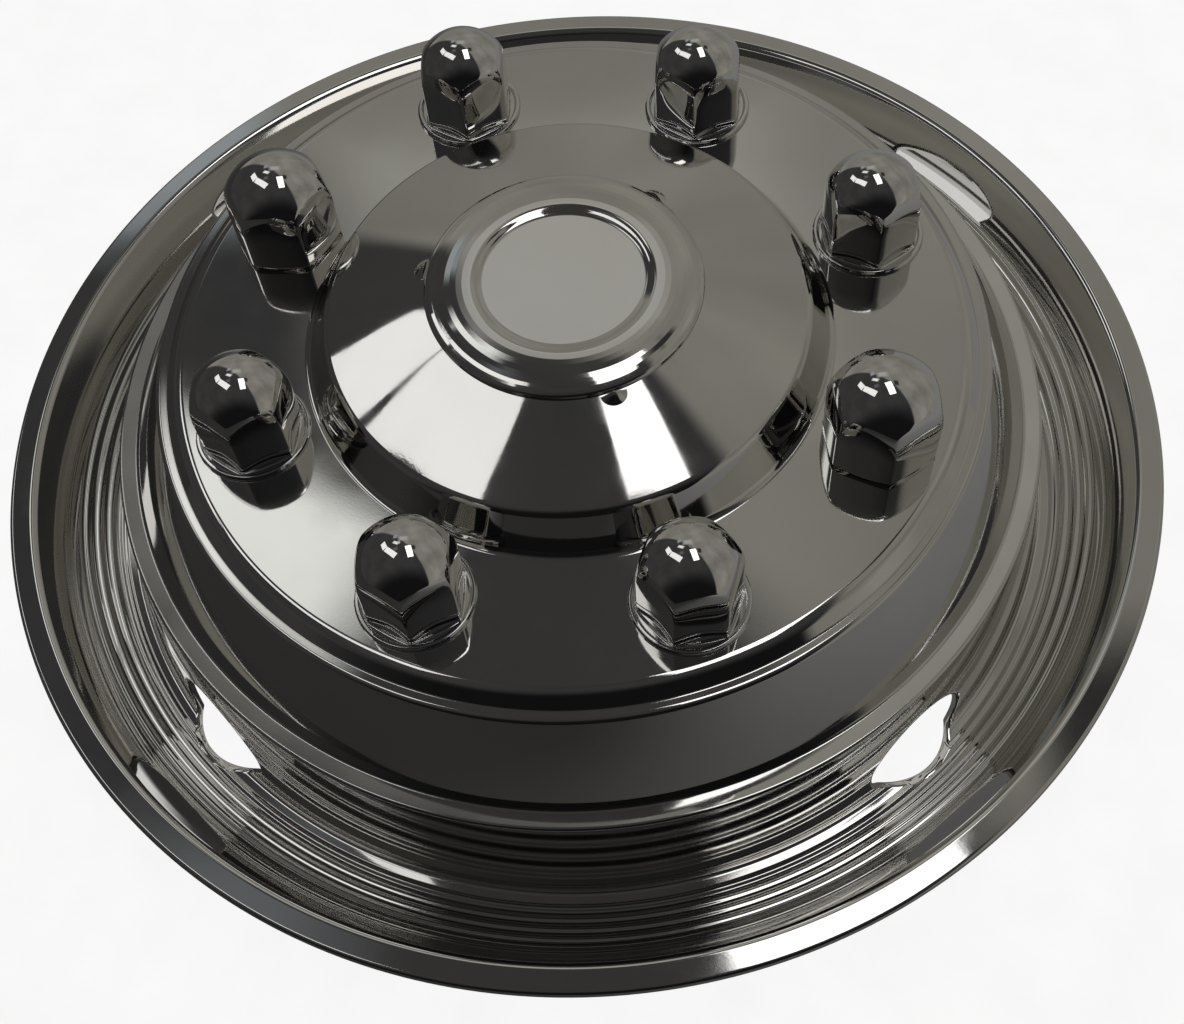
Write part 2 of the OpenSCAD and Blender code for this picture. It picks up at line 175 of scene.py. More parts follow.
class Skin:
    """Points, normals and faces of one piece while it is being built, in millimetres."""

    def __init__(self):
        self.points, self.normals, self.faces, self.size = [], [], [], 0

    def add(self, points, normals, faces):
        points = np.asarray(points, float).reshape(-1, 3)
        normals = np.asarray(normals, float).reshape(-1, 3)
        normals = normals / np.maximum(np.linalg.norm(normals, axis=1, keepdims=True), 1e-9)
        faces = np.asarray(faces, int)
        a, b, c = (points[faces[:, k]] for k in (0, 1, 2))
        d = points[faces[:, -1]]
        flow = np.cross(c - a, d - b) if faces.shape[1] == 4 else np.cross(b - a, c - a)
        wrong = (flow * normals[faces].mean(1)).sum(1) < 0
        faces[wrong] = faces[wrong][:, ::-1]
        self.points.append(points)
        self.normals.append(normals)
        self.faces.extend(map(tuple, (faces + self.size).tolist()))
        self.size += len(points)

    def join(self, other):
        """Adds all of another skin."""
        self.points += other.points
        self.normals += other.normals
        self.faces.extend(tuple(v + self.size for v in f) for f in other.faces)
        self.size += other.size

    def grid(self, points, normals, wrap=True, keep=None):
        """Adds rows of points, joined into a ring where wrap is set."""
        rows, columns = points.shape[:2]
        across = np.arange(columns if wrap else columns - 1)
        i, j = np.meshgrid(np.arange(rows - 1), across, indexing="ij")
        if keep is not None:
            i, j = i[keep], j[keep]
        i, j = i.ravel(), j.ravel()
        k = (j + 1) % columns
        here, there = i * columns, (i + 1) * columns
        self.add(points, normals, np.stack([here + j, here + k, there + k, there + j], 1))

    def cap(self, ring, centre, normal):
        """Closes a ring of points with a fan round its centre."""
        count = len(ring)
        points = np.vstack([ring, centre])
        faces = [(k, (k + 1) % count, count) for k in range(count)]
        self.add(points, np.tile(normal, (count + 1, 1)), faces)

    def placed(self, matrix):
        """The same skin, moved by a 4 by 4 matrix."""
        m = np.array(matrix)
        moved = Skin()
        moved.points = [p @ m[:3, :3].T + m[:3, 3] for p in self.points]
        moved.normals = [n @ m[:3, :3].T for n in self.normals]
        moved.faces, moved.size = self.faces, self.size
        return moved

    def make(self, name, material, slot, node):
        """Makes the Blender object, in metres, which stands for a CAD node."""
        mesh = bpy.data.meshes.new(name)
        mesh.from_pydata((np.vstack(self.points) * 0.001).tolist(), [], self.faces)
        mesh.polygons.foreach_set("use_smooth", [True] * len(mesh.polygons))
        mesh.normals_split_custom_set_from_vertices(np.vstack(self.normals).tolist())
        mesh.materials.append(material)
        piece = bpy.data.objects.new(name, mesh)
        bpy.context.scene.collection.objects.link(piece)
        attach(piece, "root")
        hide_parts(node)
        return piece


def inside(loop, x, y):
    """Which points (x, y) lie inside a closed loop."""
    found = np.zeros(x.shape, bool)
    for (xa, ya), (xb, yb) in zip(loop, np.roll(loop, -1, axis=0)):
        crosses = (ya > y) != (yb > y)
        at = xa + (y - ya) * (xb - xa) / np.where(yb == ya, 1e-12, yb - ya)
        found ^= crosses & (x < at)
    return found


def patch(skin, profile, count, rows, columns, loop, squeeze):
    """Fills a window of a surface of revolution round a hole whose edge is loop, in (s, angle)."""
    s = profile.s[rows[0]:rows[1] + 1]
    angle = np.arange(columns[0], columns[1] + 1) * TAU / count
    edge = np.stack([loop[:, 1] * squeeze, loop[:, 0]], 1)
    x, y = np.meshgrid(angle * squeeze, s)
    near = np.full(x.shape, 1e9)
    for ex, ey in edge:
        near = np.minimum(near, np.hypot(x - ex, y - ey))
    outside = ~inside(edge, x, y) & (near > EDGE_GAP)
    spots = [(a, b) for a, b in zip(x[outside], y[outside])]
    index = np.full(x.shape, -1)
    index[outside] = np.arange(len(spots))
    rim = [*index[0, :], *index[1:, -1], *index[-1, -2::-1], *index[-2:0:-1, 0]]
    edges = list(zip(rim, rim[1:] + rim[:1]))
    base = len(spots)
    spots += [tuple(p) for p in edge]
    edges += [(base + k, base + (k + 1) % len(edge)) for k in range(len(edge))]
    edges = [(int(a), int(b)) for a, b in edges]
    flat, _, faces, *_ = delaunay_2d_cdt([Vector(p) for p in spots], edges, [], 0, 1e-5)
    flat = np.array([tuple(p) for p in flat])
    faces = np.array(faces)
    middle = flat[faces].mean(1)
    faces = faces[~inside(edge, middle[:, 0], middle[:, 1])]
    points, normals = profile.surface(flat[:, 1], flat[:, 0] / squeeze)
    skin.add(points, normals, faces)


def revolve(skin, profile, count, holes=()):
    """Adds a surface of revolution. Each hole is (rows, columns, loop, squeeze)."""
    s, angle = np.meshgrid(profile.s, circle(count), indexing="ij")
    points, normals = profile.surface(s, angle)
    keep = np.ones((len(profile.s) - 1, count), bool)
    for rows, columns, loop, squeeze in holes:
        keep[rows[0]:rows[1], np.arange(columns[0], columns[1]) % count] = False
        patch(skin, profile, count, rows, columns, loop, squeeze)
    skin.grid(points, normals, keep=keep)


def revolved(skin, corners, step, reach, count, side=1):
    """Adds a turned surface whose section has corners (r, z, radius)."""
    points, tangents = rounded(corners, step, lambda r: reach)
    revolve(skin, Profile(points, tangents, side), count)


def end_strip(skin, a, b, count):
    """Adds the narrow ring between two points (r, z) at the end of a sheet."""
    c, d = np.cos(circle(count)), np.sin(circle(count))
    run = unit(np.array(b) - np.array(a))
    rings = [np.stack([r * c, r * d, np.full(count, z)], 1) for r, z in (a, b)]
    flat = np.stack([run[1] * c, run[1] * d, np.full(count, -run[0])], 1)
    skin.grid(np.array(rings), np.array([flat, flat]))


# ---- Liner ----


def rib_wave(r):
    """Height and slope of the ribs at radius r."""
    width = RIB_PITCH - RIB_LAND
    height, slope = np.zeros_like(r), np.zeros_like(r)
    for i in range(RIB_COUNT):
        u = (RIB_OUT - RIB_LAND / 2 - i * RIB_PITCH - r) / width
        on = (u > 0) & (u < 1)
        height[on] = RIB_H * (1 - np.cos(TAU * u[on])) / 2
        slope[on] = -RIB_H * math.pi * np.sin(TAU * u[on]) / width
    return height, slope


def bulged(start, end, bow):
    """The corner (r, z, radius) that makes the straight from start to end bulge by bow."""
    run = np.array(end) - np.array(start)
    middle = (np.array(start) + np.array(end)) / 2 + 2 * bow * unit(np.array([-run[1], run[0]]))
    turn = 2 * math.atan(4 * abs(bow) / np.linalg.norm(run))
    return (*middle, 0.3 * np.linalg.norm(run) / math.tan(turn / 2))


def liner_profile(step, reach, rib_reach):
    """The liner's face from the mouth to the turned-down edge. It is divided finest at the ribs."""
    corners = [
        (*MOUTH, 0), bulged(MOUTH, SHOULDER, 0.12), (*SHOULDER, 5),
        (*PLATE_IN, 4), (*PLATE_OUT, 7), (*STEP_IN, 1.3),
        (*STEP_OUT, 2.6), bulged(STEP_OUT, LEDGE_IN, 0.25), (*LEDGE_IN, 1.4), (*LEDGE_OUT, 1.4),
        (*FOOT_IN, 3), (*FOOT_OUT, 9), (*WALL_LOW, 6),
        bulged(WALL_LOW, WALL_TOP, 0.9), (*WALL_TOP, 5), (*EDGE_TOP, 1.8), (*EDGE_LOW, 0),
    ]

    def spacing(r):
        return rib_reach if RIB_IN - 1 < r < RIB_OUT + 1 else reach

    points, tangents = rounded(corners, step, spacing)
    height, slope = rib_wave(points[:, 0])
    points[:, 1] += height
    tangents[:, 1] += slope * tangents[:, 0]
    tangents /= np.linalg.norm(tangents, axis=1, keepdims=True)
    return Profile(points, tangents)


def oval_edge(count):
    """Points and outward normals of a hand hole's oval: two end arcs joined by two long side arcs."""
    width, length, end_r = HAND_SIZE
    reach = length / 2 - end_r
    side_r = (width ** 2 / 4 + reach ** 2 - end_r ** 2) / (width - 2 * end_r)
    away = side_r - width / 2
    half = math.atan2(reach, away)
    arcs = [
        (-away, 0, side_r, -half, half),
        (0, reach, end_r, half, math.pi - half),
        (away, 0, side_r, math.pi - half, math.pi + half),
        (0, -reach, end_r, math.pi + half, TAU - half),
    ]
    dense_p, dense_n = [], []
    for x, y, r, first, last in arcs:
        angle = np.linspace(first, last, 400, endpoint=False)
        normal = np.stack([np.cos(angle), np.sin(angle)], 1)
        dense_p.append(np.array([x, y]) + r * normal)
        dense_n.append(normal)
    dense_p, dense_n = np.vstack(dense_p), np.vstack(dense_n)
    steps = np.linalg.norm(np.roll(dense_p, -1, axis=0) - dense_p, axis=1)
    run = np.concatenate([[0], np.cumsum(steps)])
    at = np.arange(count) * run[-1] / count
    closed_p, closed_n = np.vstack([dense_p, dense_p[:1]]), np.vstack([dense_n, dense_n[:1]])
    points = np.stack([np.interp(at, run, closed_p[:, k]) for k in (0, 1)], 1)
    normals = np.stack([np.interp(at, run, closed_n[:, k]) for k in (0, 1)], 1)
    return points, normals / np.linalg.norm(normals, axis=1, keepdims=True)


# The axes of the hand hole at azimuth 0: across and along its oval, and out of its prism
LEAN = math.pi / 2 - HAND_TILT
ACROSS = np.array([math.cos(LEAN), 0, -math.sin(LEAN)])
ALONG = np.array([0, 1.0, 0])
AXIS = np.array([math.sin(LEAN), 0, math.cos(LEAN)])
HAND_CENTRE = np.array([HAND_SPOT[0], 0, HAND_SPOT[1]])


def prism(flat, w):
    """Points at flat places (x, y) of a hand hole's prism, w along its axis."""
    return HAND_CENTRE + flat[:, :1] * ACROSS + flat[:, 1:2] * ALONG + np.asarray(w)[:, None] * AXIS


def meet(profile, flat):
    """How far along a hand hole's axis each line at a flat place meets the liner."""
    near = (profile.points[:, 0] > HAND_ZONE[0]) & (profile.points[:, 0] < HAND_ZONE[1])
    r, z = profile.points[near].T
    low, high = np.full(len(flat), -25.0), np.full(len(flat), 25.0)
    for _ in range(50):
        w = (low + high) / 2
        p = prism(flat, w)
        above = p[:, 2] > np.interp(np.hypot(p[:, 0], p[:, 1]), r, z)
        high = np.where(above, w, high)
        low = np.where(above, low, w)
    return (low + high) / 2


def loop_of(profile, x, y, zone):
    """The places (s, angle) of points (x, y) that lie on a profile's surface."""
    return np.stack([profile.length_at(np.hypot(x, y), zone), np.arctan2(y, x)], 1)


def numeric_normals(grid, towards):
    """Normals of a grid of points that closes along its second axis, turned to one side."""
    down = np.gradient(grid, axis=0)
    around = np.roll(grid, -1, axis=1) - np.roll(grid, 1, axis=1)
    n = np.cross(down, around)
    n /= np.maximum(np.linalg.norm(n, axis=2, keepdims=True), 1e-12)
    flip = (n * towards).sum(2, keepdims=True) < 0
    return np.where(flip, -n, n)


def hand_hole_parts(face, back):
    """The loops in the two skins and the turned-in collar of the hand hole at azimuth 0."""
    floor_gap, handle = 0.12, 0.56
    oval, out = oval_edge(2 * ROUND_COUNT)
    out3 = out[:, :1] * ACROSS + out[:, 1:2] * ALONG
    w_corner = meet(face, oval)
    corner = prism(oval, w_corner)
    start = prism(oval + HAND_ROUND * out, meet(face, oval + HAND_ROUND * out))
    lowest = (floor_gap - HAND_CENTRE[2] - oval[:, 0] * ACROSS[2]) / AXIS[2]
    w_bend = np.maximum(w_corner - HAND_ROUND, lowest)
    w_end = np.maximum(w_corner - HAND_COLLAR, lowest - 0.1)
    end = prism(oval, w_bend)
    a = start + handle * (corner - start)
    b = end + handle * (corner - end)
    rows = []
    for u in np.linspace(0, 1, 9):
        rows.append((1 - u) ** 3 * start + 3 * u * (1 - u) ** 2 * a + 3 * u * u * (1 - u) * b + u ** 3 * end)
    rows = np.array(rows)
    face_loop = loop_of(face, start[:, 0], start[:, 1], HAND_ZONE)
    bend_normals = numeric_normals(rows, AXIS - 0.6 * out3)
    bend_normals[0] = face.surface(face_loop[:, 0], face_loop[:, 1])[1]
    bend_normals[-1] = -out3
    outer = oval + SHEET * out
    w_outer = meet(back, outer)
    met = prism(outer, w_outer)
    rim = [prism(oval, w_end), prism(outer, np.minimum(w_end, w_outer - 0.01))]
    down = np.tile(-AXIS, (len(oval), 1))
    strips = [
        (rows, bend_normals),
        (np.array([end, rim[0]]), np.array([-out3, -out3])),
        (np.array(rim), np.array([down, down])),
        (np.array([rim[1], met]), np.array([out3, out3])),
    ]
    return face_loop, loop_of(back, met[:, 0], met[:, 1], HAND_ZONE), strips


def hole_in(profile, count, loop, angle, margins, half, squeeze):
    """A hole for revolve: a loop turned to its angle, and the rows and columns of the grid that hold it."""
    loop = loop + np.array([0, angle])
    s_low, s_high = loop[:, 0].min() - margins[0], loop[:, 0].max() + margins[1]
    rows = (int(np.searchsorted(profile.s, s_low)) - 1, int(np.searchsorted(profile.s, s_high)))
    middle, reach = angle * count / TAU, half * count / TAU
    return rows, (math.floor(middle - reach), math.ceil(middle + reach)), loop, squeeze


def stud_hole_r(k):
    return NUT_HOLE_R if k in NUT_STUDS else COVER_HOLE_R


def hand_angle(k):
    return math.radians(HAND_AZ + k * 360 / HAND_COUNT)


def liner_skin():
    """The liner's face and back with their holes, the collars, the holes' walls and the two ends."""
    skin = Skin()
    face, back = liner_profile(9, 7, 0.4), liner_profile(18, 14, 0.8).back(SHEET)
    face_loop, _, strips = hand_hole_parts(face, face.back(SHEET))
    back_loop = hand_hole_parts(face, back)[1]
    around = circle(ROUND_COUNT)
    for profile, count, hand_loop in ((face, FACE_COUNT, face_loop), (back, BACK_COUNT, back_loop)):
        holes = []
        for k in range(HAND_COUNT):
            holes.append(hole_in(profile, count, hand_loop, hand_angle(k), *HAND_WINDOW))
        for k in range(STUD_COUNT):
            x, y = STUD_R + stud_hole_r(k) * np.cos(around), stud_hole_r(k) * np.sin(around)
            loop = loop_of(profile, x, y, STUD_ZONE)
            holes.append(hole_in(profile, count, loop, k * TAU / STUD_COUNT, *STUD_WINDOW))
        revolve(skin, profile, count, holes)
    for k in range(HAND_COUNT):
        spin = np.array(Matrix.Rotation(hand_angle(k), 3, "Z"))
        for points, normals in strips:
            lifted = np.concatenate([points[..., :2], np.maximum(points[..., 2:], 0.02)], -1)
            skin.grid(lifted @ spin.T, normals @ spin.T)
    out = np.stack([np.cos(around), np.sin(around), 0 * around], 1)
    for k in range(STUD_COUNT):
        angle = k * TAU / STUD_COUNT
        ring = STUD_R * np.array([math.cos(angle), math.sin(angle), 0]) + stud_hole_r(k) * out
        rings = [ring + np.array([0, 0, z]) for z in (PLATE_H, PLATE_H - SHEET)]
        skin.grid(np.array(rings), np.array([-out, -out]))
    for index in (0, -1):
        end_strip(skin, face.points[index], back.points[index], FACE_COUNT)
    return skin


def dimple_skin():
    """One staked dimple of the cone, beside the cap's rim, at azimuth 0: half a dome with a flat wall."""
    skin = Skin()
    half, height, inner, fall = 5.5, 2.3, 57.7, 1.6
    up = np.array([math.sin(CONE_ANGLE), 0, math.cos(CONE_ANGLE)])
    out = np.array([math.cos(CONE_ANGLE), 0, -math.sin(CONE_ANGLE)])
    foot = np.array([inner, 0, cone_h(inner)])
    turn = np.linspace(-math.pi / 2, math.pi / 2, 41)
    u, a = np.meshgrid(np.linspace(0, 1, 15), turn, indexing="ij")
    x, y = u * half * np.cos(a), u * half * np.sin(a)
    rise = height * (1 - u ** 2) ** fall
    points = foot + x[..., None] * out + y[..., None] * ALONG + rise[..., None] * up
    slope = -2 * fall * height * u * np.maximum(1 - u ** 2, 0) ** (fall - 1) / half
    flat = np.cos(a)[..., None] * out + np.sin(a)[..., None] * ALONG
    skin.grid(points, up - slope[..., None] * flat, wrap=False)
    wall_y = np.linspace(-1, 1, 41)
    wall_z = height * (1 - wall_y ** 2) ** fall
    base = foot + wall_y[:, None] * half * ALONG
    wall = np.array([base + wall_z[:, None] * up, base - 0.3 * up])
    skin.grid(wall, np.tile(-out, (2, 41, 1)), wrap=False)
    return skin


# ---- Covers, nuts and cap ----


def hex_radius(angle, flat, edge):
    """Distance from the axis to the side of a hexagon with rounded corners."""
    off = np.radians(np.abs((np.degrees(angle) % 60) - 30))
    sixth = math.radians(30)
    half = flat / 2
    straight = half / np.cos(off)
    reach = (half - edge) / math.cos(sixth)
    turn = sixth - off
    bend = reach * np.cos(turn) + np.sqrt(np.maximum(edge ** 2 - (reach * np.sin(turn)) ** 2, 0))
    return np.where(half * np.tan(off) > (half - edge) * math.tan(sixth), bend, straight)


def soft_min(a, b, k):
    """The smaller of a and b, blended where they differ by less than k."""
    h = np.clip(0.5 + 0.5 * (b - a) / k, 0, 1)
    return b + (a - b) * h - k * h * (1 - h)


class NutShape:
    """A hexagon with a round top. v from 0 to 1 goes up its sides, and from 1 to 2 over its top."""

    def __init__(self, flat, edge, ball, top, low, blend, foot=0.0, chamfer=None):
        self.flat, self.edge, self.ball, self.top, self.low = flat, edge, ball, top, low
        self.blend, self.foot, self.chamfer = blend, foot, chamfer

    def point(self, angle, v):
        middle = self.top - self.ball
        side = hex_radius(angle, self.flat, self.edge)
        height = self.low + np.clip(v, None, 1) * (middle - self.low)
        round_r = np.full_like(height, self.ball)
        if self.chamfer:
            foot_r, chamfer_h = self.chamfer
            slope = (self.ball - foot_r) / chamfer_h
            round_r = np.minimum(round_r, foot_r + (height - self.low) * slope)
        wall = soft_min(side, round_r, self.blend)
        if self.foot:
            near = np.clip((self.low + self.foot - height) / self.foot, 0, 1)
            wall = wall + self.foot * (1 - np.sqrt(1 - near ** 2))
        rise = np.clip(v - 1, 0, 1) * math.pi / 2
        reach = side / np.maximum(np.cos(rise), 1e-3)
        ray = soft_min(reach, np.full_like(rise, self.ball), self.blend)
        over = v > 1
        r = np.where(over, ray * np.cos(rise), wall)
        z = np.where(over, middle + ray * np.sin(rise), height)
        return np.stack([r * np.cos(angle), r * np.sin(angle), z], -1)

    def add_to(self, skin, levels, fine, inward=False):
        """Adds the shape as a grid with the most columns at the corners, and closes its top."""
        corner = np.linspace(-5, 5, 9 if fine else 3)
        sides = np.linspace(5, 55, 12 if fine else 5)[1:-1]
        sector = np.concatenate([corner, sides])
        angle = np.radians(np.concatenate([sector + 60 * k for k in range(6)]))
        v, a = np.meshgrid(levels, angle, indexing="ij")
        points = self.point(a, v)
        d = 1e-4
        up = self.point(a, v + d) - self.point(a, v - d)
        across = self.point(a + d, v) - self.point(a - d, v)
        normals = np.cross(across, up)
        normals /= np.maximum(np.linalg.norm(normals, axis=2, keepdims=True), 1e-12)
        side = -1 if inward else 1
        skin.grid(points, side * normals)
        skin.cap(points[-1], np.array([0, 0, points[-1, :, 2].mean()]), (0, 0, side))


def levels(low_rows, top_rows):
    """Steps up the side, and over the top to just short of its middle."""
    return np.concatenate([np.linspace(0, 1, low_rows, endpoint=False), np.linspace(1, 1.985, top_rows)])


def cover_skin():
    """A lug cover with its folded flange and neck, standing on z = 0."""
    skin = Skin()
    t, flat, edge, ball, top, blend = 0.7, 37.8, 1.6, 22.0, 42.0, 3.6
    flange_r, neck_r, neck_low, lining_low = 23.75, 20.6, -4.2, 0.3
    tray, bead = 2 * t - 0.4, 2 * t + 0.6
    body = NutShape(flat, edge, ball, top, tray, blend, foot=0.8)
    body.add_to(skin, np.concatenate([np.linspace(0, 0.09, 8), levels(16, 64)[2:]]), True)
    lining = NutShape(flat - 2 * t, edge - t, ball - t, top - t, lining_low, blend)
    lining.add_to(skin, levels(5, 22), False, inward=True)
    flange = [
        (17.5, tray, 0), (21.2, tray, 0.5), (21.9, bead, 0.6), (flange_r - 0.5, bead, 0.7),
        (flange_r, tray, 0.6), (flange_r, 0, 0.3), (neck_r, 0, 0.05), (neck_r, neck_low, 0),
    ]
    revolved(skin, flange, 12, 3, ROUND_COUNT)
    under = [(neck_r - t, neck_low, 0), (neck_r - t, lining_low, 0.05), (16.2, lining_low, 0)]
    revolved(skin, under, 15, 3, UNDER_COUNT, -1)
    end_strip(skin, (neck_r - t, neck_low), (neck_r, neck_low), UNDER_COUNT)
    return skin


def nut_skin():
    """The stainless skin of a hold-down nut, standing on z = 0."""
    skin = Skin()
    t, flat, edge, ball, top, blend = 0.8, 43.0, 1.6, 25.0, 42.5, 4.2
    chamfer_r, chamfer_h, foot_r = 22.4, 2.2, 21.2
    body = NutShape(flat, edge, ball, top, 0.0, blend, chamfer=(chamfer_r, chamfer_h))
    body.add_to(skin, np.concatenate([np.linspace(0, 0.16, 7), levels(18, 64)[3:]]), True)
    inner_chamfer = (chamfer_r - t, chamfer_h)
    lining = NutShape(flat - 2 * t, edge - t, ball - t, top - t, 0.0, blend, chamfer=inner_chamfer)
    lining.add_to(skin, levels(6, 22), False, inward=True)
    end_strip(skin, (foot_r - t, 0), (foot_r, 0), UNDER_COUNT)
    return skin


def cap_skin():
    """The centre cap: recess, crowned face, rounded edge, rolled rim and snap skirt."""
    skin = Skin()
    t, rim_r, roll = 0.7, 57.4, 0.95
    roll_r = rim_r - roll
    roll_h = cone_h(roll_r) + roll / math.cos(CONE_ANGLE)
    crown, recess = MOUTH[1] + 4.3, MOUTH[1] + 3.0
    face_r, edge_r, edge_h = 38.5, rim_r - 0.25, cone_h(rim_r) + 1.15
    skirt_r, skirt_low = MOUTH[0] - 0.3, MOUTH[1] - 9
    bead, bead_top = 0.7, MOUTH[1] - SHEET / math.cos(CONE_ANGLE) - 0.5

    def at_roll(degrees, far):
        a = math.radians(degrees) - CONE_ANGLE
        return roll_r + far * math.cos(a), roll_h + far * math.sin(a)

    crowned = []
    for degrees in range(8, 88, 8):
        turn = math.radians(degrees)
        r = face_r + (edge_r - face_r) * math.sin(turn)
        z = edge_h + (crown - edge_h) * math.cos(turn)
        crowned.append((r, z, (1.04 - math.sin(turn)) * 12))
    corners = [
        (0, recess, 0), (33.9, recess, 8), (37.0, crown, 8), *crowned, (edge_r, edge_h - 0.1, 0.2),
        (*at_roll(-20, roll), 0.2), (*at_roll(-45, roll * math.sqrt(2) * 0.8), roll * 0.5),
        (skirt_r, cone_h(skirt_r) + 0.3, 0.8), (skirt_r, bead_top, 0.3),
        (skirt_r + bead, bead_top - bead, 0.35), (skirt_r, bead_top - 2 * bead, 0.3),
        (skirt_r, skirt_low, 0),
    ]
    face = Profile(*rounded(corners, 8, lambda r: 4))
    back = Profile(*rounded(corners, 20, lambda r: 8)).back(t)
    back.points[:, 0] = np.maximum(back.points[:, 0], 0)
    revolve(skin, face, 2 * ROUND_COUNT)
    revolve(skin, back, ROUND_COUNT)
    end_strip(skin, back.points[-1], face.points[-1], ROUND_COUNT)
    return skin


# ---- Nodes of materials ----


def node(tree, kind, **values):
    made = tree.nodes.new(kind)
    for key, value in values.items():
        setattr(made, key, value)
    return made


def feed(tree, made, values):
    """Sets or links a node's inputs: a number, a colour or another node's output for each name."""
    for key, value in values.items():
        if isinstance(value, bpy.types.NodeSocket):
            tree.links.new(value, made.inputs[key])
        else:
            made.inputs[key].default_value = value


def noise(tree, coordinate, scale, detail):
    made = node(tree, "ShaderNodeTexNoise")
    feed(tree, made, {"Vector": coordinate, "Scale": scale, "Detail": detail})
    return made.outputs["Fac"]


def spread(tree, value, low, high):
    """Stretches the middle of a noise's range to run from low to high."""
    made = node(tree, "ShaderNodeMapRange")
    feed(tree, made, {"Value": value, "From Min": 0.3, "From Max": 0.7, "To Min": low, "To Max": high})
    return made.outputs["Result"]


def ramp(tree, value, first, last, low=0.0, high=1.0):
    """A smooth step from low at first to high at last."""
    made = node(tree, "ShaderNodeMapRange", interpolation_type="SMOOTHSTEP")
    feed(tree, made, {"Value": value, "From Min": first, "From Max": last, "To Min": low, "To Max": high})
    return made.outputs["Result"]


def maths(tree, operation, a, b):
    made = node(tree, "ShaderNodeMath", operation=operation)
    feed(tree, made, {0: a, 1: b})
    return made.outputs["Value"]


def bump(tree, height, distance, before=None):
    made = node(tree, "ShaderNodeBump")
    feed(tree, made, {"Strength": 1, "Distance": distance, "Height": height})
    if before:
        tree.links.new(before, made.inputs["Normal"])
    return made.outputs["Normal"]


def mixed(tree, factor, first, second):
    """Goes from the first colour to the second as the factor goes from 0 to 1."""
    made = node(tree, "ShaderNodeMix", data_type="RGBA")
    first, second = ((*c, 1) if isinstance(c, tuple) else c for c in (first, second))
    feed(tree, made, {0: factor, 6: first, 7: second})
    return made.outputs[2]


# ---- Metals ----


def metal(name):
    """A new metallic material: itself, its tree, its shader and its coordinates."""
    material = bpy.data.materials.new(name)
    material.use_nodes = True
    tree = material.node_tree
    shader = tree.nodes["Principled BSDF"]
    shader.inputs["Metallic"].default_value = 1
    return material, tree, shader, node(tree, "ShaderNodeTexCoord").outputs["Object"]


def polished(name, low, high, rough, wave):
    """Mirror-polished stainless: faint haze and smears, and the slow waves of pressed sheet."""
    material, tree, shader, place = metal(name)
    cloud = noise(tree, place, 14, 3)
    stretched = node(tree, "ShaderNodeMapping")
    feed(tree, stretched, {"Vector": place, "Scale": (1, 1, 0.3)})
    smear = noise(tree, stretched.outputs["Vector"], 60, 4)
    waves = bump(tree, noise(tree, place, 22, 1), wave)
    feed(tree, shader, {
        "Base Color": mixed(tree, spread(tree, cloud, 0, 1), low, high),
        "Roughness": spread(tree, smear, *rough),
        "Normal": bump(tree, noise(tree, place, 900, 2), 0.0000016, waves),
    })
    return material


def plain_steel(name):
    """Zinc-plated steel: grey and slightly mottled, with a fine drawn grain."""
    material, tree, shader, place = metal(name)
    cloud = noise(tree, place, 120, 5)
    grain = noise(tree, place, 1500, 3)
    feed(tree, shader, {
        "Base Color": mixed(tree, spread(tree, cloud, 0, 1), (0.34, 0.35, 0.37), (0.5, 0.5, 0.5)),
        "Roughness": spread(tree, grain, 0.3, 0.48),
        "Normal": bump(tree, grain, 0.00002),
    })
    return material


# ---- Object ----

liner_steel = polished("polished liner", (0.60, 0.585, 0.56), (0.64, 0.63, 0.61), (0.025, 0.07), 0.00012)
cap_steel = polished("polished cap", (0.62, 0.60, 0.575), (0.66, 0.65, 0.63), (0.03, 0.075), 0.00008)
cover_steel = polished("polished cover", (0.63, 0.62, 0.60), (0.68, 0.67, 0.66), (0.015, 0.05), 0.00003)
zinc = plain_steel("plain steel")

liner = liner_skin()
for k in range(3):
    liner.join(dimple_skin().placed(Matrix.Rotation(math.radians(-45 + 120 * k), 4, "Z")))
liner.make("liner_sheet", liner_steel, "polished_liner", "liner")
cap_skin().make("cap_sheet", cap_steel, "polished_cap", "centre_cap")


def at_stud(i):
    angle = i * TAU / STUD_COUNT
    centre = Vector((STUD_R * math.cos(angle), STUD_R * math.sin(angle), PLATE_H))
    return Matrix.Translation(centre) @ Matrix.Rotation(math.radians(TURNS[i]), 4, "Z")


for number, i in enumerate(COVER_STUDS, 1):
    cover = cover_skin().placed(at_stud(i))
    cover.make(f"cover_{number}", cover_steel, "polished_cover", f"lug_cover_{number}")
for number, i in enumerate(NUT_STUDS, 1):
    nut = nut_skin().placed(at_stud(i))
    nut.make(f"nut_{number}", cover_steel, "polished_nut", f"nut_skin_{number}")
for name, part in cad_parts.items():
    if name.startswith(("retaining_ring", "nut_core")):
        for slot in part.material_slots:
            slot.material = zinc

# ---- Floor, light and camera, in metres ----

# The camera's own frame is turned 30 degrees from the part's, and its zero is the flange's height
TURN = Matrix.Rotation(math.radians(30), 3, "Z")
FLANGE_Z = 0.032
PAPER, BACKDROP = 0.93, 0.92
FLOOR_HALF = 6.0
LIGHT_H = 3.0
# Where the painted white of the paper under the object starts and stops fading in mirrors, as a radius
PAPER_R = (0.262, 0.285)


def from_camera_frame(x, y, z):
    return TURN @ Vector((x, y, z)) + Vector((0, 0, FLANGE_Z))


def along(tree, value, direction):
    """How far a value reaches along a direction of the camera's frame."""
    made = node(tree, "ShaderNodeVectorMath", operation="DOT_PRODUCT")
    feed(tree, made, {0: value, 1: TURN @ Vector(direction)})
    return made.outputs["Value"]


